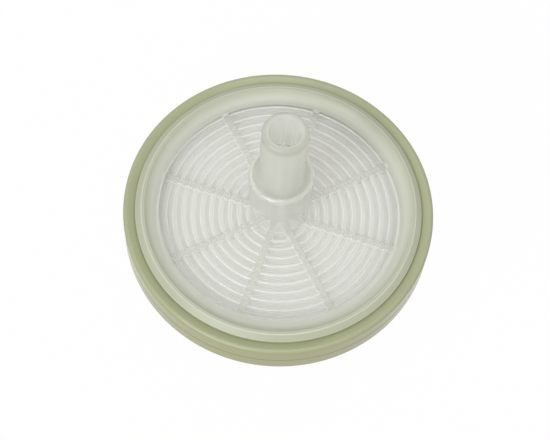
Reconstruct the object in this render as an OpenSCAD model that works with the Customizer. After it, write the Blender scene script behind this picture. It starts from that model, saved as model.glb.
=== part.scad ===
// Disc filter with a stepped hose nipple on each face, in millimetres.
// Two mirrored housing halves press on the edge of a round membrane, and a seal ring moulded over
// their flanges holds them together. +Z runs along the inlet nipple, and the origin is the middle
// of the membrane.

/* [Membrane] */
// Diameter of the filter membrane
membrane_d = 50; // [40:1:70]
// Thickness of the filter membrane
membrane_t = 0.5; // [0.2:0.05:1]
// Gap between the membrane's edge and the wall of its pocket
pocket_gap = 0.3; // [0.1:0.05:0.8]
// Width of the flat land that presses on the membrane's edge
clamp_w = 0.9; // [0.5:0.1:2]

/* [Housing halves] */
// Thickness of the face plate
plate_t = 1.7; // [1.2:0.1:2.5]
// Width of the weld land from the membrane's pocket to the foot of the shoulder
weld_land_w = 2.4; // [2:0.1:4]
// Height of the raised shoulder over the face plate
shoulder_h = 1.3; // [0.8:0.05:1.8]
// Width of the shoulder's flat crest
crest_w = 0.6; // [0.4:0.1:1]
// Width of the slope from the crest in to the face plate
inner_slope_w = 1.2; // [0.6:0.1:2]
// Width of the slope from the crest out to the seal ring
outer_slope_w = 1.2; // [0.8:0.1:2]
// Thickness of the flange that the seal ring grips
flange_t = 1.9; // [1.2:0.1:2.4]
// Width of the flange that the seal ring grips
flange_w = 1.3; // [0.8:0.1:1.7]

/* [Seal ring] */
// Width of the seal ring's flat faces
ring_w = 2.3; // [2.1:0.1:4]
// Thickness of the ring's lip over each flange
lip_t = 1.9; // [1.3:0.1:2.4]
// Radius that rounds the ring's outer corners
ring_round = 0.7; // [0.3:0.1:1.2]
// Width of the shallow groove between the ring's crown and the shoulder
groove_w = 1.5; // [0.6:0.1:1.6]
// Depth of the shallow groove, at the shoulder
groove_depth = 0.6; // [0.3:0.1:0.8]
// Width of the parting line round the middle of the ring's wall
parting_w = 0.4; // [0.2:0.1:0.8]
// Depth of the parting line
parting_depth = 0.15; // [0.1:0.05:0.3]

/* [Support ribs] */
// Width of a rib at its tip
rib_w = 0.8; // [0.4:0.05:1]
// Distance from one rib to the next
rib_pitch = 1.8; // [1.5:0.05:3]
// Height of a rib from the face plate to the membrane
rib_h = 1.2; // [0.8:0.1:1.6]
// How much wider a rib is at each side of its root than at its tip
rib_draft = 0.05; // [0:0.01:0.1]
// Distance from the nipple's bore to the middle of the first rib
rib_inset = 2.1; // [1.5:0.05:4]
// Least width of the collecting channel outside the last rib
collector_w = 0.4; // [0.2:0.1:1]

/* [Radial channels] */
// Number of radial channels, an even number
channel_count = 8; // [4:2:12]
// Width of a radial channel
channel_w = 1.4; // [0.8:0.1:2.4]
// Depth of a radial channel into the face plate, past the roots of the ribs
channel_sink = 0.3; // [0.1:0.05:0.6]

/* [Hose nipple] */
// Length of the nipple over the face plate
nipple_l = 31; // [22:0.5:45]
// Height of the step over the face plate
step_l = 14.85; // [8:0.05:18]
// Diameter of the small stage
small_d = 8.5; // [7.6:0.1:10]
// Diameter of the large stage at its land
large_d = 12.1; // [11.6:0.1:16]
// Length of the large stage's straight land, with its rounded edge
land_l = 4.5; // [2:0.1:6]
// How far the neck below the land is set in from it
neck_inset = 0.45; // [0.1:0.05:1]
// Diameter of the bore
bore_d = 5.6; // [4:0.1:6.4]
// Radius that rounds the edge of the step
step_round = 0.8; // [0.3:0.1:1.2]
// Radius of the fillet at the nipple's root
root_round = 0.7; // [0.3:0.1:1.2]

/* [Hidden] */
$fn = 128;

natural_plastic = [0.84, 0.85, 0.80];
olive_plastic = [0.68, 0.70, 0.57];
filter_white = [0.95, 0.95, 0.93];

// Radii, from the middle outwards
bore_r = bore_d / 2;
small_r = small_d / 2;
large_r = large_d / 2;
neck_r = large_r - neck_inset;
membrane_r = membrane_d / 2;
clamp_r = membrane_r - clamp_w;
pocket_r = membrane_r + pocket_gap;
wall_r = pocket_r + weld_land_w;
crest_outer_r = wall_r - outer_slope_w;
crest_inner_r = crest_outer_r - crest_w;
flange_r = wall_r + flange_w;
ring_r = wall_r + ring_w;

// Heights over the middle plane of the membrane
pocket_z = membrane_t / 2;
ceiling_z = pocket_z + rib_h;
face_z = ceiling_z + plate_t;
crest_z = face_z + shoulder_h;
ring_z = flange_t + lip_t;
step_z = face_z + step_l;
tip_z = face_z + nipple_l;

// Radius of the lip's full round, half the wall of the small stage
lip_round = (small_r - bore_r) / 2;

// The ribs run from the bore out to the collecting channel
first_rib_r = bore_r + rib_inset;
last_rib_limit = clamp_r - collector_w - rib_w / 2;
rib_count = 1 + floor((last_rib_limit - first_rib_r) / rib_pitch);

// Rectangle in the section plane, from radius r0 to r1 and from height z0 to z1
module span(r0, r1, z0, z1) {
    translate([r0, z0]) square([r1 - r0, z1 - z0]);
}

// Section of one rib, standing on the ceiling with its tip on the membrane
module rib_section(r) {
    tip = rib_w / 2;
    root = tip + rib_draft;
    polygon([[r - tip, pocket_z], [r + tip, pocket_z], [r + root, ceiling_z], [r - root, ceiling_z]]);
}

// Section of the face plate, the raised shoulder, the weld land and the flange
module disc_section() {
    polygon([
        [0, ceiling_z], [clamp_r, ceiling_z], [clamp_r, pocket_z], [pocket_r, pocket_z], [pocket_r, 0],
        [flange_r, 0], [flange_r, flange_t], [wall_r, flange_t], [wall_r, ring_z],
        [crest_outer_r, crest_z], [crest_inner_r, crest_z], [crest_inner_r - inner_slope_w, face_z],
        [0, face_z]
    ]);
}

// Section of the nipple without its bore: neck, land with a rounded edge, small stage, round lip
module nipple_section() {
    polygon([[0, ceiling_z], [neck_r, ceiling_z], [neck_r, face_z], [large_r, step_z - land_l],
        [large_r, step_z - step_round], [0, step_z - step_round]]);
    span(0, large_r - step_round, step_z - 2 * step_round, step_z);
    translate([large_r - step_round, step_z - step_round]) circle(step_round);
    span(0, small_r, step_z - step_round, tip_z - lip_round);
    translate([bore_r + lip_round, tip_z - lip_round]) circle(lip_round);
    difference() {
        span(neck_r, neck_r + root_round, face_z, face_z + root_round);
        translate([neck_r + root_round, face_z + root_round]) circle(root_round);
    }
}

// Straight channels across the ceiling, from one side of the collecting channel to the other
module radial_channels() {
    depth = rib_h + channel_sink;
    intersection() {
        translate([0, 0, pocket_z]) cylinder(h = depth, r = clamp_r);
        for (i = [0 : channel_count / 2 - 1])
            rotate([0, 0, i * 360 / channel_count])
                translate([-ring_r, -channel_w / 2, pocket_z]) cube([2 * ring_r, channel_w, depth]);
    }
}

// One half of the housing, with its nipple upwards and its weld face on the middle plane
module housing_half() {
    difference() {
        rotate_extrude()
            difference() {
                union() {
                    disc_section();
                    nipple_section();
                    for (i = [0 : rib_count - 1]) rib_section(first_rib_r + i * rib_pitch);
                }
                span(0, bore_r, 0, tip_z);
            }
        radial_channels();
    }
}

module inlet_housing() {
    color(natural_plastic) housing_half();
}

module outlet_housing() {
    color(natural_plastic) mirror([0, 0, 1]) housing_half();
}

// Round disc whose edge lies between the two clamp lands
module membrane() {
    color(filter_white) translate([0, 0, -pocket_z]) cylinder(h = membrane_t, r = membrane_r);
}

// Section of the ring's upper half: a lip over the flange, a wall, a groove and a parting line
module ring_half_section() {
    difference() {
        union() {
            span(wall_r, ring_r, 0, ring_z - ring_round);
            span(wall_r, ring_r - ring_round, 0, ring_z);
            translate([ring_r - ring_round, ring_z - ring_round]) circle(ring_round);
        }
        span(wall_r, flange_r, 0, flange_t);
        polygon([[wall_r, ring_z - groove_depth], [wall_r + groove_w, ring_z], [wall_r, ring_z]]);
        polygon([[ring_r - parting_depth, 0], [ring_r, 0], [ring_r, parting_w / 2]]);
    }
}

// The ring is moulded over both flanges, which meet inside it
module seal_ring() {
    color(olive_plastic)
        rotate_extrude() {
            ring_half_section();
            mirror([0, 1]) ring_half_section();
        }
}

inlet_housing();
outlet_housing();
membrane();
seal_ring();
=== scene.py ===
"""Looks of a round disc filter: two see-through housing halves, a white membrane and an olive seal ring.

Every piece is a surface turned about the filter's axis. A section is a closed outline in the plane
of radius and height, whose corners are rounded by arcs, and a piece is that section carried round
the axis on a grid. Sizes are in millimetres and meshes in metres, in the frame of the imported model.
"""

from __future__ import annotations

import logging
import math
from dataclasses import dataclass
from enum import Enum
from typing import Any

import bmesh
import bpy
import numpy as np
from mathutils import Matrix, Vector

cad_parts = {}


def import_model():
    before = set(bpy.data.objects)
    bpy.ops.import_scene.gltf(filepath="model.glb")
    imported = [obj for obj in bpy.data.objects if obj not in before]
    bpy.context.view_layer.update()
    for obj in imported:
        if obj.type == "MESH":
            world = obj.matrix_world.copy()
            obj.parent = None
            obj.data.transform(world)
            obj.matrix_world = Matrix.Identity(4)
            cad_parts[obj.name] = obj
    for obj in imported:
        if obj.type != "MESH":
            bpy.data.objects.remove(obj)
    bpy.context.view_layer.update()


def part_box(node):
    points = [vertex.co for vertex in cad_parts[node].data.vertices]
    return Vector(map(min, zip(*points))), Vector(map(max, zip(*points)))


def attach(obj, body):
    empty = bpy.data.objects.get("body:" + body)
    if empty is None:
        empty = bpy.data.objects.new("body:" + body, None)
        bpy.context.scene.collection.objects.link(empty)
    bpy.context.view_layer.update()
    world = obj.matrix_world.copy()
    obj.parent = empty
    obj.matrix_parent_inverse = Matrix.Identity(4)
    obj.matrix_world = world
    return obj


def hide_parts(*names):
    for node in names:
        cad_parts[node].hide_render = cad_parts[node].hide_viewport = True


# One millimetre in metres, and the gap between the lower nipple's tip and the floor in millimetres
MM = 0.001
FLOOR_GAP = 0.1
LOG = logging.getLogger("disc_filter")


class Half(Enum):
    """Which way a housing half faces along the axis."""

    INLET = 1
    OUTLET = -1


# ---------------------------------------------------------------- sections and grids


@dataclass(frozen=True)
class Section:
    """A closed outline in the plane of radius and height, in millimetres, run counter-clockwise.

    Args:
        radius: Radius of each point.
        height: Height of each point.
        along_radius: Radius part of the outline's direction at each point.
        along_height: Height part of the outline's direction at each point.
        sinks: 1 where a radial channel may cut the point, 0 elsewhere.
        painted_gleam: Painted highlight of a rounded corner, from 0 at its ends to its own value halfway.
    """

    radius: np.ndarray
    height: np.ndarray
    along_radius: np.ndarray
    along_height: np.ndarray
    sinks: np.ndarray
    painted_gleam: np.ndarray


def rounded_section(corners: list[tuple[float, ...]], arc_steps: int = 4) -> Section:
    """Rounds each corner of a closed outline with an arc that is tangent to both sides.

    At a corner that turns by angle t, an arc of radius q starts q * tan(t / 2) before the corner.
    Its direction turns evenly by t, so its point is the start plus q times the difference of the
    sines, and of the cosines, of the direction there and the direction at the start.

    Args:
        corners: Radius, height, rounding, sink flag and painted highlight of each corner, counter-clockwise.
        arc_steps: Number of steps in each arc.

    Returns:
        The rounded outline.
    """
    table = np.array(corners, float)
    place, rounding = table[:, :2], table[:, 2:3]
    into = place - np.roll(place, 1, 0)
    out = np.roll(place, -1, 0) - place
    start_angle = np.arctan2(into[:, 1:], into[:, :1])
    end_angle = np.arctan2(out[:, 1:], out[:, :1])
    turn = (end_angle - start_angle + np.pi) % (2 * np.pi) - np.pi
    reach = rounding * np.tan(np.abs(turn) / 2)
    start = place - reach * np.hstack([np.cos(start_angle), np.sin(start_angle)])
    angle = start_angle + turn * np.linspace(0, 1, arc_steps + 1)
    curve = rounding * np.where(turn < 0, -1, 1)
    radius = start[:, :1] + curve * (np.sin(angle) - np.sin(start_angle))
    height = start[:, 1:] + curve * (np.cos(start_angle) - np.cos(angle))
    share = np.linspace(0, 1, arc_steps + 1)
    sinks = np.repeat(table[:, 3], arc_steps + 1)
    # Painted highlight: it rises from 0 at the ends of each arc to the corner's own value halfway.
    painted_gleam = (table[:, 4:5] * 4 * share * (1 - share)).ravel()
    return Section(radius.ravel(), height.ravel(), np.cos(angle).ravel(), np.sin(angle).ravel(), sinks, painted_gleam)


def grid_mesh(name: str, points: np.ndarray, normals: np.ndarray, looks: dict[str, np.ndarray],
              flip: bool) -> bpy.types.Object:
    """Makes a closed mesh from a grid that joins up in both directions.

    Args:
        name: Name of the new object.
        points: Rows by columns by 3, in millimetres.
        normals: The surface's outward directions, of the same shape.
        looks: Numbers that the material reads, by name, for each row or each point.
        flip: Whether the grid is mirrored, so that its faces run the other way.

    Returns:
        The new object, smooth-shaded, with its place in its mesh.
    """
    rows, columns = points.shape[:2]
    here = np.arange(rows * columns).reshape(rows, columns)
    beside = np.roll(here, -1, 1)
    quads = np.stack([here, beside, np.roll(beside, -1, 0), np.roll(here, -1, 0)], -1).reshape(-1, 4)
    mesh = bpy.data.meshes.new(name)
    mesh.from_pydata((points.reshape(-1, 3) * MM).tolist(), [], quads[:, :: -1 if flip else 1].tolist())
    mesh.shade_smooth()
    lengths = np.linalg.norm(normals, axis=-1, keepdims=True)
    mesh.normals_split_custom_set_from_vertices((normals / lengths).reshape(-1, 3).tolist())
    for label, values in looks.items():
        spread = np.broadcast_to(values, (rows, columns)).astype(np.float32).ravel()
        mesh.attributes.new(label, "FLOAT", "POINT").data.foreach_set("value", spread)
    piece = bpy.data.objects.new(name, mesh)
    bpy.context.scene.collection.objects.link(piece)
    return piece


def turned_piece(name: str, section: Section, looks: dict[str, np.ndarray], columns: int) -> bpy.types.Object:
    """Carries a section round the axis at even angles.

    The point is radius * cos(angle), radius * sin(angle), height, and the surface faces the
    outline's right-hand side.

    Args:
        name: Name of the new object.
        section: The closed outline.
        looks: Numbers that the material reads, by name, for each point of the outline.
        columns: Number of steps round the axis.

    Returns:
        The new object.
    """
    angle = np.linspace(0, 2 * np.pi, columns, endpoint=False)[None, :]
    radius, height = section.radius[:, None], section.height[:, None]
    flat = np.ones_like(angle)
    points = np.stack([radius * np.cos(angle), radius * np.sin(angle), height * flat], -1)
    facing, falling = section.along_height[:, None], -section.along_radius[:, None]
    normals = np.stack([facing * np.cos(angle), facing * np.sin(angle), falling * flat], -1)
    return grid_mesh(name, points, normals, looks, False)


# ---------------------------------------------------------------- the filter's pieces


@dataclass(frozen=True)
class SupportRibs:
    """Ring-shaped ribs under the face plate, and the straight channels that cross them.

    Args:
        count: Number of ribs.
        first_radius: Radius of the middle of the first rib.
        pitch: Distance from one rib to the next.
        width: Width of a rib at its tip.
        draft: How much wider a rib is at each side of its root.
        tip_round: Rounding of a rib's edges.
        root_round: Rounding at a rib's roots.
        channel_count: Number of radial channels.
        channel_width: Width of a channel.
        channel_sink: Depth of a channel past the roots of the ribs.
        channel_edge: Width of the rounded end of a rib at a channel.
        root_painted_gleam: Painted highlight of a rib's roots.
        between: Number of grid steps between the columns of two channels.
    """

    count: int = 11
    first_radius: float = 4.9
    pitch: float = 1.8
    width: float = 0.8
    draft: float = 0.05
    tip_round: float = 0.1
    root_round: float = 0.18
    channel_count: int = 8
    channel_width: float = 1.4
    channel_sink: float = 0.3
    channel_edge: float = 0.24
    root_painted_gleam: float = 1.0
    between: int = 20

    def corners(self, tip: float, root: float) -> list[tuple[float, ...]]:
        """Lists the corners of all ribs, from the axis outwards.

        Args:
            tip: Height of the ribs' tips.
            root: Height of the ribs' roots.

        Returns:
            Radius, height, rounding, sink flag and painted highlight of each corner.
        """
        listed: list[tuple[float, ...]] = []
        for number in range(self.count):
            middle = self.first_radius + number * self.pitch
            narrow, wide = self.width / 2, self.width / 2 + self.draft
            listed += [
                # Each rib's roots carry a painted highlight.
                (middle - wide, root, self.root_round, 1, self.root_painted_gleam),
                (middle - narrow, tip, self.tip_round, 1, 0),
                (middle + narrow, tip, self.tip_round, 1, 0),
                (middle + wide, root, self.root_round, 1, self.root_painted_gleam),
            ]
        return listed

    def channel_share(self, distance: np.ndarray) -> tuple[np.ndarray, np.ndarray]:
        """Says how far a channel has cut the surface at a distance from its middle line.

        The share falls from 1 in the channel to 0 outside it as one minus the smooth step
        s * s * (3 - 2 * s), where s runs from 0 to 1 across the rounded end of a rib.

        Args:
            distance: Distance from the channel's middle line, in millimetres.

        Returns:
            The share, and its slope over the distance.
        """
        edge = (self.channel_width - self.channel_edge) / 2
        step = np.clip((distance - edge) / self.channel_edge, 0, 1)
        return 1 - step * step * (3 - 2 * step), -6 * step * (1 - step) / self.channel_edge

    def column_angles(self, radius: np.ndarray) -> tuple[np.ndarray, np.ndarray]:
        """Places the grid's columns so that they follow both walls of every channel.

        Near a channel a column keeps a fixed distance from its middle line, so its angle from that
        line is the arcsine of distance over radius, and the columns between two channels are
        evenly spread. Close to the axis the angle is held under half a sector.

        Args:
            radius: Radius of each row, as a column of numbers.

        Returns:
            The angle of each point, and its angle from the middle line of the nearest channel.
        """
        sector = 2 * math.pi / self.channel_count
        half = self.channel_width / 2
        edge = self.channel_edge
        near = np.array([0.0, 0.6 * half, half - 0.5 * edge, half - 0.25 * edge, half, half + 0.25 * edge,
                         half + 0.5 * edge, half + 1.2 * edge])
        widest = 0.48 * sector
        held = near / near[-1] * widest
        lean = np.minimum(np.arcsin(np.minimum(near / radius, 1)), held)
        last = lean[:, -1:]
        spread = last + (sector - 2 * last) * np.arange(1, self.between) / self.between
        one_sector = np.hstack([lean, spread, sector - lean[:, :0:-1]])
        from_line = np.where(one_sector > sector / 2, one_sector - sector, one_sector)
        starts = sector * np.arange(self.channel_count)
        angle = (starts[None, :, None] + one_sector[:, None, :]).reshape(len(radius), -1)
        return angle, np.tile(from_line, (1, self.channel_count))


@dataclass(frozen=True)
class HoseNipple:
    """A stepped hose nipple: a neck that widens to a land, then a step up to a smaller stage.

    Args:
        bore_radius: Radius of the bore.
        small_radius: Radius of the small stage.
        large_radius: Radius of the large stage at its land.
        neck_inset: How far the neck is set in from the land.
        step_height: Height of the step over the face plate.
        land_length: Length of the land.
        step_round: Rounding of the step's edge.
        root_round: Fillet at the nipple's root.
        foot_round: Fillet where the small stage stands on the step.
        neck_round: Rounding where the neck meets the land.
        draft_round: Rounding where the small stage's draft begins.
        step_painted_gleam: Painted highlight of the step's edge, which also makes that edge glossier.
        mouth_painted_gleam: Painted highlight of the edge of the bore.
        tip_band: Length of the tip's stretch, from where the small stage's draft begins; the painted shade
            near the tip starts there.
        tip_draft: How much narrower the small stage is at its tip.
    """

    bore_radius: float = 2.8
    small_radius: float = 4.25
    large_radius: float = 6.05
    neck_inset: float = 0.45
    step_height: float = 14.85
    land_length: float = 4.5
    step_round: float = 0.8
    root_round: float = 0.7
    foot_round: float = 0.35
    neck_round: float = 8.0
    draft_round: float = 2.0
    step_painted_gleam: float = 0.8
    mouth_painted_gleam: float = 0.2
    tip_band: float = 2.2
    tip_draft: float = 0.05

    def corners(self, face: float, tip: float) -> list[tuple[float, ...]]:
        """Lists the corners from the nipple's root up to the mouth of its bore.

        Args:
            face: Height of the face plate's outer side.
            tip: Height of the nipple's tip.

        Returns:
            Radius, height, rounding, sink flag and painted highlight of each corner.
        """
        step = face + self.step_height
        wall = self.small_radius - self.tip_draft - self.bore_radius
        lip = 0.495 * wall
        return [
            (self.large_radius - self.neck_inset, face, self.root_round, 0, 0),
            (self.large_radius, step - self.land_length, self.neck_round, 0, 0),
            # The step's edge and the bore's edge carry a painted highlight.
            (self.large_radius, step, self.step_round, 0, self.step_painted_gleam),
            (self.small_radius, step, self.foot_round, 0, 0),
            (self.small_radius, tip - self.tip_band, self.draft_round, 0, 0),
            (self.small_radius - self.tip_draft, tip, lip, 0, 0),
            (self.bore_radius, tip, lip, 0, self.mouth_painted_gleam),
        ]


@dataclass(frozen=True)
class MilkyLook:
    """How the plastic of a housing half looks from part to part, from 0 for clear to 1 for solid.

    Args:
        plate: Opacity of the face plate.
        nipple: Opacity that the nipple adds.
        rim: Opacity that the milky rim adds.
        seat: Opacity of the faces on the membrane's edge and on the weld.
        corner: Opacity that a painted highlight on a corner of the nipple adds.
        fade: Height over which the nipple turns milky, in millimetres.
        bending: How much of the nipple's light passes bent.
        rim_dullness: Dullness of the rim.
        shine: How far a gleaming corner loses its dullness.
        haze: Opacity of the level parts between the ribs.
        channel: Opacity of a channel's floor.
        channel_tint: Olive tint of a channel's floor.
        edge: Opacity of the painted highlights on a rib's rounded edges.
        brim: Opacity of the collecting channel's outer side.
        rim_steps: Where the rim begins, jumps and is full, in millimetres past the clear plate.
        rim_shares: Share of the rim's opacity at those places.
        tint_steps: Where the tint of the rim changes, in millimetres past the clear plate.
        tints: Tint at those places, then past the slope's foot, on the crest and at the ring.
        foot_reach: How far past the slope's foot the tint's fourth value lies, in millimetres.
        brim_steps: Where the brim begins and is full, in millimetres inside the clamp land.
        band_painted_shades: Painted shade on the nipple, from under its step up to the edge of its tip.
        step_band: Height of the painted shade over the step, in millimetres.
        tip_edge: Distance from the tip of its deepest painted shade, in millimetres.
        mouth: Width of the ring round the bore that has no painted shade, in millimetres.
        blur: Least distance over which a look changes, in millimetres.
    """

    plate: float = 0.15
    nipple: float = 0.5
    rim: float = 0.72
    seat: float = 0.95
    corner: float = 0.35
    fade: float = 2.5
    bending: float = 0.68
    rim_dullness: float = 0.6
    shine: float = 0.8
    haze: float = 0.2
    channel: float = 0.32
    channel_tint: float = 0.5
    edge: float = 0.7
    brim: float = 0.8
    rim_steps: tuple[float, ...] = (0.1, 0.25, 1.7)
    rim_shares: tuple[float, ...] = (0, 0.45, 1)
    tint_steps: tuple[float, ...] = (0.1, 0.25, 0.95)
    tints: tuple[float, ...] = (0, 0.35, 0.55, 0.72, 0.96, 1)
    foot_reach: float = 0.5
    brim_steps: tuple[float, float] = (0.7, 0.4)
    band_painted_shades: tuple[float, ...] = (0.05, 0.6, 0.05, 0.15, 0.75, 0.4)
    step_band: float = 0.3
    tip_edge: float = 0.5
    mouth: float = 0.7
    blur: float = 0.1


@dataclass(frozen=True)
class HousingHalf:
    """One half of the housing, moulded in one piece with its ribs and its nipple.

    Args:
        half: Which way it faces.
        tip: Height of the nipple's tip over the middle plane.
        flange_radius: Outer radius of the flange in the seal ring.
        membrane_top: Height of the membrane's face over the middle plane.
        ring_top: Height of the seal ring's face over the middle plane.
        wall_radius: Radius where the shoulder meets the seal ring.
        ribs: The support ribs.
        nipple: The hose nipple.
        look: How milky each part is.
        rib_height: Height of a rib.
        plate: Thickness of the face plate.
        clamp_radius: Inner radius of the land that presses on the membrane.
        pocket_radius: Radius of the membrane's pocket.
        crest_height: Height of the shoulder over the face plate.
        crest_outer: Outer radius of the shoulder's crest.
        crest_inner: Inner radius of the shoulder's crest.
        slope_foot: Radius at the foot of the shoulder's inner slope.
        slope_round: Fillet at the foot of that slope, which leaves a broad soft shoulder.
        clear_radius: Radius up to which the plate is clear.
        crown: How much the plate rises towards that radius.
        crown_round: Rounding where the plate's rise ends.
        collector_round: Fillet at the outer side of the collecting channel.
        crest_rounds: Rounding of the crest's outer and inner edge.
        wall_round: Rounding of the shoulder's edge at the seal ring.
        bore_round: Rounding of the bore's edge at the membrane.
        sharp: Rounding of the edges that are hidden.
        crest_painted_gleam: Painted highlight of the crest's outer edge.
        wall_painted_gleam: Painted highlight of the edge at the seal ring.
        flange: Thickness of the flange.
        air: Gap to the membrane.
    """

    half: Half
    tip: float
    flange_radius: float
    membrane_top: float
    ring_top: float
    wall_radius: float
    ribs: SupportRibs = SupportRibs()
    nipple: HoseNipple = HoseNipple()
    look: MilkyLook = MilkyLook()
    rib_height: float = 1.2
    plate: float = 1.7
    clamp_radius: float = 24.1
    pocket_radius: float = 25.3
    crest_height: float = 1.3
    crest_outer: float = 26.5
    crest_inner: float = 25.9
    slope_foot: float = 24.7
    slope_round: float = 3.4
    clear_radius: float = 22.95
    crown: float = 0.02
    crown_round: float = 12.0
    collector_round: float = 0.5
    crest_rounds: tuple[float, float] = (0.6, 0.3)
    wall_round: float = 0.25
    bore_round: float = 0.15
    sharp: float = 0.08
    crest_painted_gleam: float = 0.4
    wall_painted_gleam: float = 0.3
    flange: float = 1.9
    air: float = 0.02

    @property
    def ceiling(self) -> float:
        """Height of the face plate's inner side."""
        return self.membrane_top + self.rib_height

    @property
    def face(self) -> float:
        """Height of the face plate's outer side."""
        return self.ceiling + self.plate

    def section(self) -> Section:
        """Runs the outline out along the ribs, up the flange, in over the face and round the nipple.

        Returns:
            The half's section, with the nipple upwards.
        """
        seat, weld = self.membrane_top + self.air, -self.air / 2
        ceiling, face, sharp = self.ceiling, self.face, self.sharp
        crest = face + self.crest_height
        corners = [(self.nipple.bore_radius, ceiling, self.bore_round, 1, 0)]
        corners += self.ribs.corners(seat, ceiling)
        corners += [
            (self.clamp_radius, ceiling, self.collector_round, 1, 0),
            (self.clamp_radius, seat, sharp, 0, 0),
            (self.pocket_radius, seat, sharp, 0, 0),
            (self.pocket_radius, weld, sharp, 0, 0),
            (self.flange_radius, weld, sharp, 0, 0),
            (self.flange_radius, self.flange, sharp, 0, 0),
            (self.wall_radius, self.flange, sharp, 0, 0),
            # The edge at the seal ring and the crest's outer edge carry a painted highlight.
            (self.wall_radius, self.ring_top, self.wall_round, 0, self.wall_painted_gleam),
            (self.crest_outer, crest, self.crest_rounds[0], 0, self.crest_painted_gleam),
            (self.crest_inner, crest, self.crest_rounds[1], 0, 0),
            (self.slope_foot, face, self.slope_round, 0, 0),
            (self.clear_radius, face + self.crown, self.crown_round, 0, 0),
        ]
        corners += self.nipple.corners(face, self.tip)
        return rounded_section(corners)

    def looks(self, line: Section, share: np.ndarray) -> dict[str, np.ndarray]:
        """Says how much plastic lies behind each point, and what that does to its look.

        Args:
            line: The half's section.
            share: How far a channel has cut each point.

        Returns:
            Opacity, bending, dullness, painted highlight, and olive tint that is partly painted shade, each
            from 0 to 1.
        """
        middle = self.ceiling + 0.5 * self.plate
        radius, height = line.radius[:, None], line.height[:, None]
        inside = (height < middle) & (radius < self.clamp_radius + 2 * self.look.blur)
        inner, outer = self.inner_looks(line, share), self.outer_looks(line)
        return {label: np.clip(np.where(inside, inner[label], outer[label]), 0, 1) for label in inner}

    def inner_looks(self, line: Section, share: np.ndarray) -> dict[str, np.ndarray]:
        """Shades the side that faces the membrane, whose level parts carry a slight haze.

        A rib's rounded root gets a painted highlight, a lighter colour and more opacity, where its direction
        is level, and its rounded end gets one halfway into a channel, as 3 * share * (1 - share). The
        channel's floor is a little dimmer.

        Args:
            line: The half's section.
            share: How far a channel has cut each point.

        Returns:
            The same five numbers as looks.
        """
        look = self.look
        radius, painted_gleam = line.radius[:, None], line.painted_gleam[:, None]
        level = np.abs(line.along_radius[:, None])
        brim = np.interp(radius, [self.clamp_radius - step for step in look.brim_steps], [0, 1])
        # Painted highlight: lighter, more opaque lines at the rib roots, and beads where the ribs end at a
        # channel.
        painted_root_highlight = line.sinks[:, None] * np.minimum(1.4 * painted_gleam * level, 1) * (1 - share)
        edge = painted_root_highlight + 3 * share * (1 - share)
        return {
            "opacity": (look.haze * level ** 2 * (1 - share) + look.channel * share
                        + look.edge * edge + look.brim * brim),
            "bending": np.zeros_like(share),
            "dullness": np.zeros_like(share),
            "painted_glint": np.maximum(edge, painted_gleam),
            "olive": look.channel_tint * share * (1 - brim),
        }

    def outer_looks(self, line: Section) -> dict[str, np.ndarray]:
        """Shades the outer side: a clear plate, a cloudy nipple and a milky rim.

        The rim takes on the colour of the seal ring as it nears it. The nipple's step face and a stretch near
        its tip
        are darker: painted shade, which near the tip stands for the dark rim that refraction gives there.
        Corners with a painted highlight are lighter, more opaque and glossier.

        Args:
            line: The half's section.

        Returns:
            The same five numbers as looks.
        """
        look, nipple, face = self.look, self.nipple, self.face
        radius, height, painted_gleam = line.radius[:, None], line.height[:, None], line.painted_gleam[:, None]
        above = height > 0.5 * face
        milky = np.interp(height, [face, face + look.fade], [0, 1]) * (radius < self.clamp_radius)
        rim_places = [self.clear_radius + step for step in look.rim_steps]
        rim = above * np.interp(radius, rim_places, look.rim_shares)
        tint_places = [self.clear_radius + step for step in look.tint_steps]
        tint_places += [self.slope_foot + look.foot_reach, self.crest_outer, self.wall_radius]
        tint = above * np.interp(radius, tint_places, look.tints)
        seat = (height < 0.5 * face) & (radius > self.clamp_radius - look.blur)
        # Painted shade: darker on the step face and near the tip, where it stands for the dark rim that
        # refraction gives.
        step, tip = face + nipple.step_height, self.tip
        band_places = [step - look.blur, step, step + look.step_band]
        band_places += [tip - nipple.tip_band, tip - look.tip_edge, tip - look.blur]
        band = (radius > nipple.bore_radius + look.mouth) * np.interp(height, band_places, look.band_painted_shades)
        opacity = above * (look.plate + look.nipple * milky + look.rim * rim)
        return {
            # Painted highlight on gleaming corners of the nipple: more opacity and a lighter colour through
            # the glint value, and less dullness.
            "opacity": opacity + look.corner * milky * painted_gleam + look.seat * seat,
            "bending": look.bending * milky,
            "dullness": np.maximum(milky * (1 - look.shine * painted_gleam), look.rim_dullness * rim ** 2),
            "painted_glint": painted_gleam,
            "olive": np.maximum(tint, band),
        }

    def build(self, name: str) -> bpy.types.Object:
        """Carries the section round the axis and sinks the radial channels into its inner side.

        A channel lifts the inner side towards its own floor by its share c, so the height is
        z + (floor - z) * c. The outward direction is the cross product of the two slopes of that
        height, over the angle and along the section.

        Args:
            name: Name of the new object.

        Returns:
            The new object.
        """
        line = self.section()
        radius, height = line.radius[:, None], line.height[:, None]
        angle, lean = self.ribs.column_angles(radius)
        distance = radius * np.sin(np.abs(lean))
        share, slope = self.ribs.channel_share(distance)
        share, slope = share * line.sinks[:, None], slope * line.sinks[:, None]
        floor = self.ceiling + self.ribs.channel_sink
        lift = floor - height
        side = self.half.value
        level = side * (height + lift * share)
        points = np.stack([radius * np.cos(angle), radius * np.sin(angle), level], -1)
        run, rise = line.along_radius[:, None], line.along_height[:, None]
        rise = rise * (1 - share) + lift * slope * np.sin(np.abs(lean)) * run
        sweep = lift * slope * radius * np.cos(lean) * np.sign(lean)
        normals = np.stack([
            radius * rise * np.cos(angle) - run * sweep * np.sin(angle),
            radius * rise * np.sin(angle) + run * sweep * np.cos(angle),
            -side * radius * run * np.ones_like(angle),
        ], -1)
        return grid_mesh(name, points, normals, self.looks(line, share), side < 0)


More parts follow.
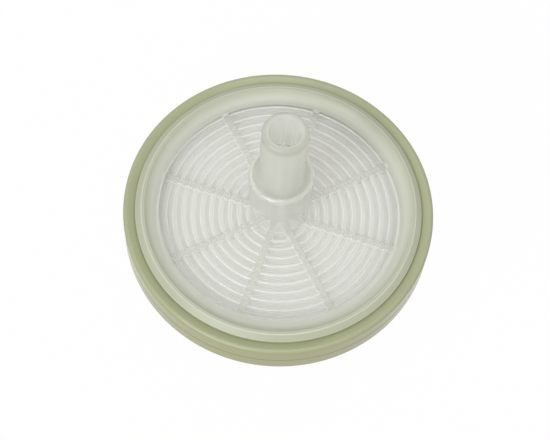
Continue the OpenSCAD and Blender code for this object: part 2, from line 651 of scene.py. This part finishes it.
@dataclass(frozen=True)
class FilterMembrane:
    """The round filter disc, which lies between the two halves.

    Args:
        radius: Radius of the disc.
        top: Height of its upper face over the middle plane.
        edge: Rounding of its edge.
        columns: Number of steps round the axis.
        rings: Number of steps from the middle to the edge.
        edge_steps: Number of steps in the rounding.
    """

    radius: float
    top: float
    edge: float = 0.1
    columns: int = 192
    rings: int = 48
    edge_steps: int = 4

    def build(self, name: str) -> bpy.types.Object:
        """Turns a flat outline with round edges about the axis, from pole to pole.

        The faces lie at plus and minus the top height. At the edge the outline follows a quarter
        circle down, and one back in.

        Args:
            name: Name of the new object.

        Returns:
            The new object, closed at both poles.
        """
        bend = np.linspace(0, math.pi / 2, self.edge_steps + 1)
        flat = np.linspace(0, self.radius - self.edge, self.rings, endpoint=False)
        radius = np.concatenate([flat, self.radius - self.edge + self.edge * np.sin(bend)])
        falling = self.top - self.edge + self.edge * np.cos(bend)
        height = np.concatenate([np.full_like(flat, self.top), falling])
        radius = np.concatenate([radius, radius[::-1]])[:, None]
        height = np.concatenate([height, -height[::-1]])[:, None]
        angle = np.linspace(0, 2 * np.pi, self.columns, endpoint=False)[None, :]
        points = np.stack([radius * np.cos(angle), radius * np.sin(angle), height * np.ones_like(angle)], -1)
        rows, columns = points.shape[:2]
        here = np.arange(rows * columns).reshape(rows, columns)
        beside = np.roll(here, -1, 1)
        quads = np.stack([here[:-1], here[1:], beside[1:], beside[:-1]], -1).reshape(-1, 4)
        mesh = bpy.data.meshes.new(name)
        mesh.from_pydata((points.reshape(-1, 3) * MM).tolist(), [], quads.tolist())
        work = bmesh.new()
        work.from_mesh(mesh)
        bmesh.ops.remove_doubles(work, verts=work.verts, dist=1e-3 * MM)
        bmesh.ops.recalc_face_normals(work, faces=work.faces)
        work.to_mesh(mesh)
        work.free()
        mesh.shade_smooth()
        piece = bpy.data.objects.new(name, mesh)
        bpy.context.scene.collection.objects.link(piece)
        return piece


@dataclass(frozen=True)
class SealRing:
    """The ring that is moulded over both flanges, with a groove at the shoulder and a parting line.

    Args:
        radius: Outer radius of the ring.
        top: Height of its face over the middle plane.
        flange_radius: Outer radius of the flanges inside it.
        wall_radius: Radius where it meets the shoulder.
        flange: Thickness of one flange.
        outer_round: Rounding of its outer corners.
        groove_width: Width of the groove at the shoulder.
        groove_depth: Depth of that groove.
        parting_width: Width of the parting line.
        parting_depth: Depth of the parting line.
        parting_rounds: Rounding of the parting line's bottom and of its edges.
        crown_round: Rounding of the face's inner edge.
        groove_round: Rounding of the groove's bottom.
        sharp: Rounding of the edges that are hidden.
        bond: How far it runs into the flanges that it is bonded to.
        clearness: How much light passes the ring where it isn't bonded.
        groove_painted_shade: How much painted shade deepens its colour in the groove.
        columns: Number of steps round the axis.
    """

    radius: float
    top: float
    flange_radius: float
    wall_radius: float
    flange: float = 1.9
    outer_round: float = 0.7
    groove_width: float = 1.5
    groove_depth: float = 0.6
    parting_width: float = 0.4
    parting_depth: float = 0.15
    parting_rounds: tuple[float, float] = (0.04, 0.08)
    crown_round: float = 0.2
    groove_round: float = 0.12
    sharp: float = 0.08
    bond: float = 0.02
    clearness: float = 0.06
    groove_painted_shade: float = 0.4
    columns: int = 224

    def build(self, name: str) -> bpy.types.Object:
        """Turns the ring's outline about the axis.

        The lower half of the outline is the upper half with its heights negated. The wall carries painted
        shade, deepest on it and fading evenly to the face's colour over the height of the outer corner's
        rounding; the groove by the shoulder has painted shade too.

        Args:
            name: Name of the new object.

        Returns:
            The new object.
        """
        inner, held = self.wall_radius - self.bond, self.flange_radius - self.bond
        grip, low = self.flange - self.bond, self.top - self.groove_depth
        upper = [
            (self.radius - self.parting_depth, 0, self.parting_rounds[0], 0, 0),
            (self.radius, self.parting_width / 2, self.parting_rounds[1], 0, 0),
            (self.radius, self.top, self.outer_round, 0, 0),
            (self.wall_radius + self.groove_width, self.top, self.crown_round, 0, 0),
            (inner, low, self.groove_round, 0, 0),
            (inner, grip, self.sharp, 0, 0),
            (held, grip, self.sharp, 0, 0),
        ]
        lower = [(radius, -height, *rest) for radius, height, *rest in upper[:0:-1]]
        line = rounded_section(upper + lower, arc_steps=5)
        level = np.abs(line.height)
        bonded = (line.radius < (held + self.radius) / 2) & (level < self.top - self.groove_depth / 2)
        clear = np.where(bonded, 0, self.clearness)[:, None]
        none, full = np.zeros_like(clear), np.ones_like(clear)
        # Painted shade: the wall and the groove's inner end are darker, through the olive value.
        outside = line.radius > self.radius - self.outer_round
        wall = outside * np.interp(level, [self.top - self.outer_round, self.top], [1, 0])
        deep = (wall + self.groove_painted_shade * (line.radius < inner + 0.2))[:, None]
        looks = {"opacity": full, "bending": clear, "dullness": none, "painted_glint": none, "olive": deep}
        return turned_piece(name, line, looks, self.columns)


# ---------------------------------------------------------------- finishes


def linear(code: str) -> tuple[float, float, float, float]:
    """Turns an sRGB colour, written as six hex digits, into linear light.

    Args:
        code: The colour, such as "#A8AE8C".

    Returns:
        Red, green, blue and an alpha of 1.
    """
    parts = [int(code[at:at + 2], 16) / 255 for at in (1, 3, 5)]
    red, green, blue = [p / 12.92 if p <= 0.04045 else ((p + 0.055) / 1.055) ** 2.4 for p in parts]
    return red, green, blue, 1.0


def add_node(tree: bpy.types.NodeTree, kind: str, settings: dict[str, Any] | None = None,
             inputs: dict[Any, Any] | None = None) -> bpy.types.Node:
    """Adds one node, sets its options, and sets or links its inputs.

    Args:
        tree: The node tree.
        kind: The node's type name.
        settings: Options of the node, by name.
        inputs: A value, or an output to link, for each input's name or number.

    Returns:
        The new node.
    """
    node = tree.nodes.new(kind)
    for name, value in (settings or {}).items():
        setattr(node, name, value)
    for key, value in (inputs or {}).items():
        if isinstance(value, bpy.types.NodeSocket):
            tree.links.new(value, node.inputs[key])
        else:
            node.inputs[key].default_value = value
    return node


def new_material(name: str) -> tuple[bpy.types.Material, bpy.types.NodeTree, bpy.types.NodeSocket]:
    """Makes an empty node material.

    Args:
        name: Name of the material.

    Returns:
        The material, its tree and the surface input of its output node.
    """
    material = bpy.data.materials.new(name)
    material.use_nodes = True
    tree = material.node_tree
    tree.nodes.clear()
    return material, tree, add_node(tree, "ShaderNodeOutputMaterial").inputs["Surface"]


@dataclass(frozen=True)
class MouldedPlastic:
    """Injection-moulded polypropylene: see-through where it is thin, milky where it is thick.

    Args:
        name: Name of the material.
        light: Its colour where it is clearest.
        deep: Its colour in the faint clouds that the melt leaves.
        tint_and_painted_shade: Its colour beside a coloured piece that it is bonded to, which is also the
            colour of its painted shade.
        painted_gleam: Its painted highlight colour at rounded edges.
        roughness: Roughness of its surface where it is clear, and where it is dull.
        flow_mm: Size of the clouds, in millimetres.
        wave_mm: Length of the surface's waves, in millimetres.
        ripple_mm: Depth of those waves, in millimetres.
        index: Refractive index of polypropylene.
        coat_roughness: Roughness of the shine on gleaming edges.
    """

    name: str
    light: str
    deep: str
    tint_and_painted_shade: str
    painted_gleam: str
    roughness: tuple[float, float]
    flow_mm: float = 6.0
    wave_mm: float = 3.0
    ripple_mm: float = 0.0015
    index: float = 1.49
    coat_roughness: float = 0.1

    def build(self) -> bpy.types.Material:
        """Builds the node material, which reads from each piece's own attributes how thick it is, and where
        highlights and shade are painted.

        Returns:
            The material.
        """
        material, tree, surface = new_material(self.name)
        place = add_node(tree, "ShaderNodeTexCoord").outputs["Object"]
        opacity, bending, dullness, painted_glint, olive = (
            add_node(tree, "ShaderNodeAttribute", {"attribute_name": label}).outputs["Fac"]
            for label in ("opacity", "bending", "dullness", "painted_glint", "olive"))
        flow = add_node(tree, "ShaderNodeTexNoise", inputs={
            "Vector": place, "Scale": 1 / (self.flow_mm * MM), "Detail": 2.0})
        body_colour = add_node(tree, "ShaderNodeMix", {"data_type": "RGBA"}, {
            0: flow.outputs[0], 6: linear(self.light), 7: linear(self.deep)})
        # The olive value mixes in the tinted colour: a real tint beside the seal ring, and painted shade on
        # the nipple and on the ring's wall and groove.
        beside = add_node(tree, "ShaderNodeMix", {"data_type": "RGBA"}, {
            0: olive, 6: body_colour.outputs[2], 7: linear(self.tint_and_painted_shade)})
        # Painted highlight: mixes in the highlight colour where the glint value says.
        colour = add_node(tree, "ShaderNodeMix", {"data_type": "RGBA"}, {
            0: painted_glint, 6: beside.outputs[2], 7: linear(self.painted_gleam)})
        rough = add_node(tree, "ShaderNodeMapRange", inputs={
            0: dullness, 3: self.roughness[0], 4: self.roughness[1]})
        waves = add_node(tree, "ShaderNodeTexNoise", inputs={
            "Vector": place, "Scale": 1 / (self.wave_mm * MM), "Detail": 1.0})
        bump = add_node(tree, "ShaderNodeBump", inputs={
            "Strength": 1.0, "Distance": self.ripple_mm * MM, "Height": waves.outputs[0]})
        body = add_node(tree, "ShaderNodeBsdfPrincipled", inputs={
            "Base Color": colour.outputs[2], "Roughness": rough.outputs[0], "IOR": self.index,
            "Transmission Weight": bending, "Alpha": opacity, "Coat Weight": painted_glint,
            "Coat Roughness": self.coat_roughness, "Normal": bump.outputs[0]})
        tree.links.new(body.outputs[0], surface)
        return material


@dataclass(frozen=True)
class FibreFleece:
    """A matt white filter layer of fine fibres.

    Args:
        name: Name of the material.
        light: Colour of the fibres.
        shade: Colour between the fibres, a painted shade in the hollows of their relief.
        fibre_mm: Spacing of the fibres, drawn coarser than the real few hundredths of a millimetre.
        relief_mm: Depth between the fibres, in millimetres.
        roughness: Roughness of the fibres.
        shine: Strength of their reflections.
    """

    name: str
    light: str = "#ECECE6"
    shade: str = "#E7E7E0"
    fibre_mm: float = 0.3
    relief_mm: float = 0.02
    roughness: float = 0.9
    shine: float = 0.2

    def build(self) -> bpy.types.Material:
        """Builds the node material.

        Returns:
            The material, whose noise stands for the tangle of fibres.
        """
        material, tree, surface = new_material(self.name)
        place = add_node(tree, "ShaderNodeTexCoord").outputs["Object"]
        tangle = add_node(tree, "ShaderNodeTexNoise", inputs={
            "Vector": place, "Scale": 1 / (self.fibre_mm * MM), "Detail": 3.0, "Roughness": 0.7})
        # Painted shade: the colour is darker where the relief is low.
        colour = add_node(tree, "ShaderNodeMix", {"data_type": "RGBA"}, {
            0: tangle.outputs[0], 6: linear(self.shade), 7: linear(self.light)})
        bump = add_node(tree, "ShaderNodeBump", inputs={
            "Strength": 0.5, "Distance": self.relief_mm * MM, "Height": tangle.outputs[0]})
        body = add_node(tree, "ShaderNodeBsdfPrincipled", inputs={
            "Base Color": colour.outputs[2], "Roughness": self.roughness, "Specular IOR Level": self.shine,
            "Normal": bump.outputs[0]})
        tree.links.new(body.outputs[0], surface)
        return material


# The fourth colour of each plastic also serves as its painted shade, and the fifth is its painted highlight
# colour.
NATURAL = MouldedPlastic(
    "natural_polypropylene_moulded", "#FEFEF7", "#FAFAF2", "#BBBFA3", "#FFFFFA", (0.08, 0.35))
OLIVE = MouldedPlastic(
    "olive_polypropylene_moulded", "#B4B993", "#ADB18C", "#979865", "#B9BE97", (0.2, 0.2))
FLEECE = FibreFleece("white_fibre_fleece")


# ---------------------------------------------------------------- studio


@dataclass(frozen=True)
class Softbox:
    """A large square lamp that faces the middle of the filter.

    Args:
        name: Name of the lamp.
        azimuth: Direction round the axis, in degrees from +X.
        elevation: Height over the horizon, in degrees.
        distance: Distance from the filter, in metres.
        size: Length of its sides, in metres.
        power: Its power, in watts.
        colour: Its colour.
    """

    name: str
    azimuth: float
    elevation: float
    distance: float
    size: float
    power: float
    colour: str = "#FFFFFF"

    def build(self) -> bpy.types.Object:
        """Adds the lamp and turns it to the filter.

        Returns:
            The lamp's object.
        """
        lamp = bpy.data.lights.new(self.name, "AREA")
        lamp.shape = "SQUARE"
        lamp.size = self.size
        lamp.energy = self.power
        lamp.color = linear(self.colour)[:3]
        holder = bpy.data.objects.new(self.name, lamp)
        across, up = math.radians(self.azimuth), math.radians(self.elevation)
        away = Vector((math.cos(across) * math.cos(up), math.sin(across) * math.cos(up), math.sin(up)))
        holder.location = away * self.distance
        holder.rotation_euler = away.to_track_quat("Z", "Y").to_euler()
        bpy.context.scene.collection.objects.link(holder)
        return holder


@dataclass(frozen=True)
class Viewpoint:
    """The camera, which looks down on the inlet side.

    Args:
        azimuth: Angle of the picture's right-hand side round the axis, in degrees.
        elevation: Height of the camera over the horizon, in degrees.
        roll: Turn of the camera about its own axis, in degrees.
        distance: Distance from the plane of the seal ring's face, in millimetres.
        slide: How far the camera stands to the right and up, in millimetres.
        lens: Focal length, in millimetres, on a sensor 36 mm wide.
    """

    azimuth: float = 14.32
    elevation: float = 64.63
    roll: float = 4.85
    distance: float = 286.4
    slide: tuple[float, float] = (-0.73, -2.47)
    lens: float = 97.1

    def build(self, aim_height: float) -> bpy.types.Object:
        """Adds the camera and makes it the scene's own.

        Args:
            aim_height: Height of the point that it faces, in millimetres.

        Returns:
            The camera.
        """
        data = bpy.data.cameras.new("camera")
        data.lens = self.lens
        data.clip_start = 0.01
        camera = bpy.data.objects.new("camera", data)
        turn = Matrix.Rotation(math.radians(self.azimuth), 3, "Z")
        tilt = Matrix.Rotation(math.radians(90 - self.elevation), 3, "X")
        roll = Matrix.Rotation(math.radians(self.roll), 3, "Z")
        facing = turn @ tilt @ roll
        offset = facing @ Vector((self.slide[0], self.slide[1], self.distance))
        camera.matrix_world = Matrix.Translation((offset + Vector((0, 0, aim_height))) * MM) @ facing.to_4x4()
        bpy.context.scene.collection.objects.link(camera)
        bpy.context.scene.camera = camera
        return camera


@dataclass(frozen=True)
class Studio:
    """A pale floor, an even sky and soft lamps.

    Args:
        floor_height: Height of the floor, in millimetres.
        floor_size: Length of the floor's sides, in metres.
        sky: Strength of the sky on the object.
        shown: Share of plain white in what the camera sees of the floor.
        paper: Colour of the floor's paper.
        lamps: The soft lamps.
    """

    floor_height: float
    floor_size: float = 6.0
    sky: float = 0.67
    shown: float = 0.97
    paper: str = "#EFEFEF"
    lamps: tuple[Softbox, ...] = (
        Softbox("front_softbox", 254, 38, 0.9, 0.55, 3.6, "#F4F8FF"),
        Softbox("top_softbox", 290, 80, 0.9, 0.5, 0.8),
    )

    def build(self) -> None:
        """Adds the floor, the world and the lamps."""
        half = self.floor_size / 2
        level = self.floor_height * MM
        mesh = bpy.data.meshes.new("floor")
        corners = [(-half, -half, level), (half, -half, level), (half, half, level), (-half, half, level)]
        mesh.from_pydata(corners, [], [(0, 1, 2, 3)])
        floor = bpy.data.objects.new("floor", mesh)
        bpy.context.scene.collection.objects.link(floor)
        floor.data.materials.append(self.floor_paper())
        self.sky_world()
        for lamp in self.lamps:
            lamp.build()

    def seen_share(self, tree: bpy.types.NodeTree) -> bpy.types.NodeSocket:
        """Adds a switch that is 1 for what the camera sees, directly or in gloss and glass.

        Args:
            tree: The node tree.

        Returns:
            The switch's output.
        """
        path = add_node(tree, "ShaderNodeLightPath")
        direct = add_node(tree, "ShaderNodeMath", {"operation": "MAXIMUM"}, {
            0: path.outputs["Is Camera Ray"], 1: path.outputs["Is Glossy Ray"]})
        both = add_node(tree, "ShaderNodeMath", {"operation": "MAXIMUM"}, {
            0: direct.outputs[0], 1: path.outputs["Is Transmission Ray"]})
        return both.outputs[0]

    def floor_paper(self) -> bpy.types.Material:
        """Builds the floor's matt white paper, which shows near white and keeps a soft shadow.

        Returns:
            The material.
        """
        material, tree, surface = new_material("white_backdrop_paper")
        paper = add_node(tree, "ShaderNodeBsdfDiffuse", inputs={"Color": linear(self.paper)})
        glow = add_node(tree, "ShaderNodeEmission", inputs={"Color": (1, 1, 1, 1), "Strength": 1.0})
        share = add_node(tree, "ShaderNodeMath", {"operation": "MULTIPLY"}, {
            0: self.seen_share(tree), 1: self.shown})
        mixed = add_node(tree, "ShaderNodeMixShader", inputs={
            0: share.outputs[0], 1: paper.outputs[0], 2: glow.outputs[0]})
        tree.links.new(mixed.outputs[0], surface)
        return material

    def sky_world(self) -> None:
        """Sets an even sky that shows white."""
        world = bpy.data.worlds.new("studio_sky")
        world.use_nodes = True
        tree = world.node_tree
        tree.nodes.clear()
        strength = add_node(tree, "ShaderNodeMapRange", inputs={
            0: self.seen_share(tree), 3: self.sky, 4: 1.0})
        light = add_node(tree, "ShaderNodeBackground", inputs={
            "Color": (1, 1, 1, 1), "Strength": strength.outputs[0]})
        end = add_node(tree, "ShaderNodeOutputWorld")
        tree.links.new(light.outputs[0], end.inputs["Surface"])
        bpy.context.scene.world = world


# ---------------------------------------------------------------- the whole filter


@dataclass(frozen=True)
class DiscFilter:
    """The whole filter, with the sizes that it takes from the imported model.

    Args:
        ring_radius: Outer radius of the seal ring.
        ring_top: Height of the seal ring's face.
        flange_radius: Outer radius of the flanges.
        wall_radius: Inner radius of the seal ring.
        membrane_radius: Radius of the membrane.
        membrane_top: Height of the membrane's face.
        tip: Height of the nipples' tips.
    """

    ring_radius: float
    ring_top: float
    flange_radius: float
    wall_radius: float
    membrane_radius: float
    membrane_top: float
    tip: float

    @classmethod
    def from_frame(cls, ring_width: float = 2.3) -> DiscFilter:
        """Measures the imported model.

        Args:
            ring_width: Width of the seal ring's faces, which its box doesn't tell.

        Returns:
            The filter with its sizes.
        """
        ring, inlet, sheet = (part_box(node)[1] / MM for node in ("seal_ring", "inlet_housing", "membrane"))
        return cls(ring.x, ring.z, inlet.x, ring.x - ring_width, sheet.x, sheet.z, inlet.z)

    def build(self) -> None:
        """Builds, dresses and fixes every piece."""
        natural, olive, fleece = NATURAL.build(), OLIVE.build(), FLEECE.build()
        for half, node in ((Half.INLET, "inlet_housing"), (Half.OUTLET, "outlet_housing")):
            housing = HousingHalf(half, self.tip, self.flange_radius, self.membrane_top, self.ring_top,
                                  self.wall_radius)
            place(housing.build(node + "_shell"), node, natural, "natural_plastic")
        sheet = FilterMembrane(self.membrane_radius, self.membrane_top)
        place(sheet.build("membrane_sheet"), "membrane", fleece, "filter_membrane")
        ring = SealRing(self.ring_radius, self.ring_top, self.flange_radius, self.wall_radius)
        place(ring.build("seal_ring_shell"), "seal_ring", olive, "olive_plastic")


def place(piece: bpy.types.Object, node: str, material: bpy.types.Material, slot: str) -> None:
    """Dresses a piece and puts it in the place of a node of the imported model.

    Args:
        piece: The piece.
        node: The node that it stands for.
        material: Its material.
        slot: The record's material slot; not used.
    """
    piece.data.materials.append(material)
    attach(piece, "root")
    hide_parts(node)
    LOG.info("%s: %d faces, %s, stands for %s", piece.name, len(piece.data.polygons), material.name, node)


def main() -> None:
    """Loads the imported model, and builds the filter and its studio."""
    logging.basicConfig(level=logging.INFO, format="%(name)s: %(message)s")
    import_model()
    scene = bpy.context.scene
    scene.view_settings.view_transform = "Standard"
    disc = DiscFilter.from_frame()
    Viewpoint().build(disc.ring_top)
    Studio(-disc.tip - FLOOR_GAP).build()
    disc.build()


if __name__ == "__main__":
    main()
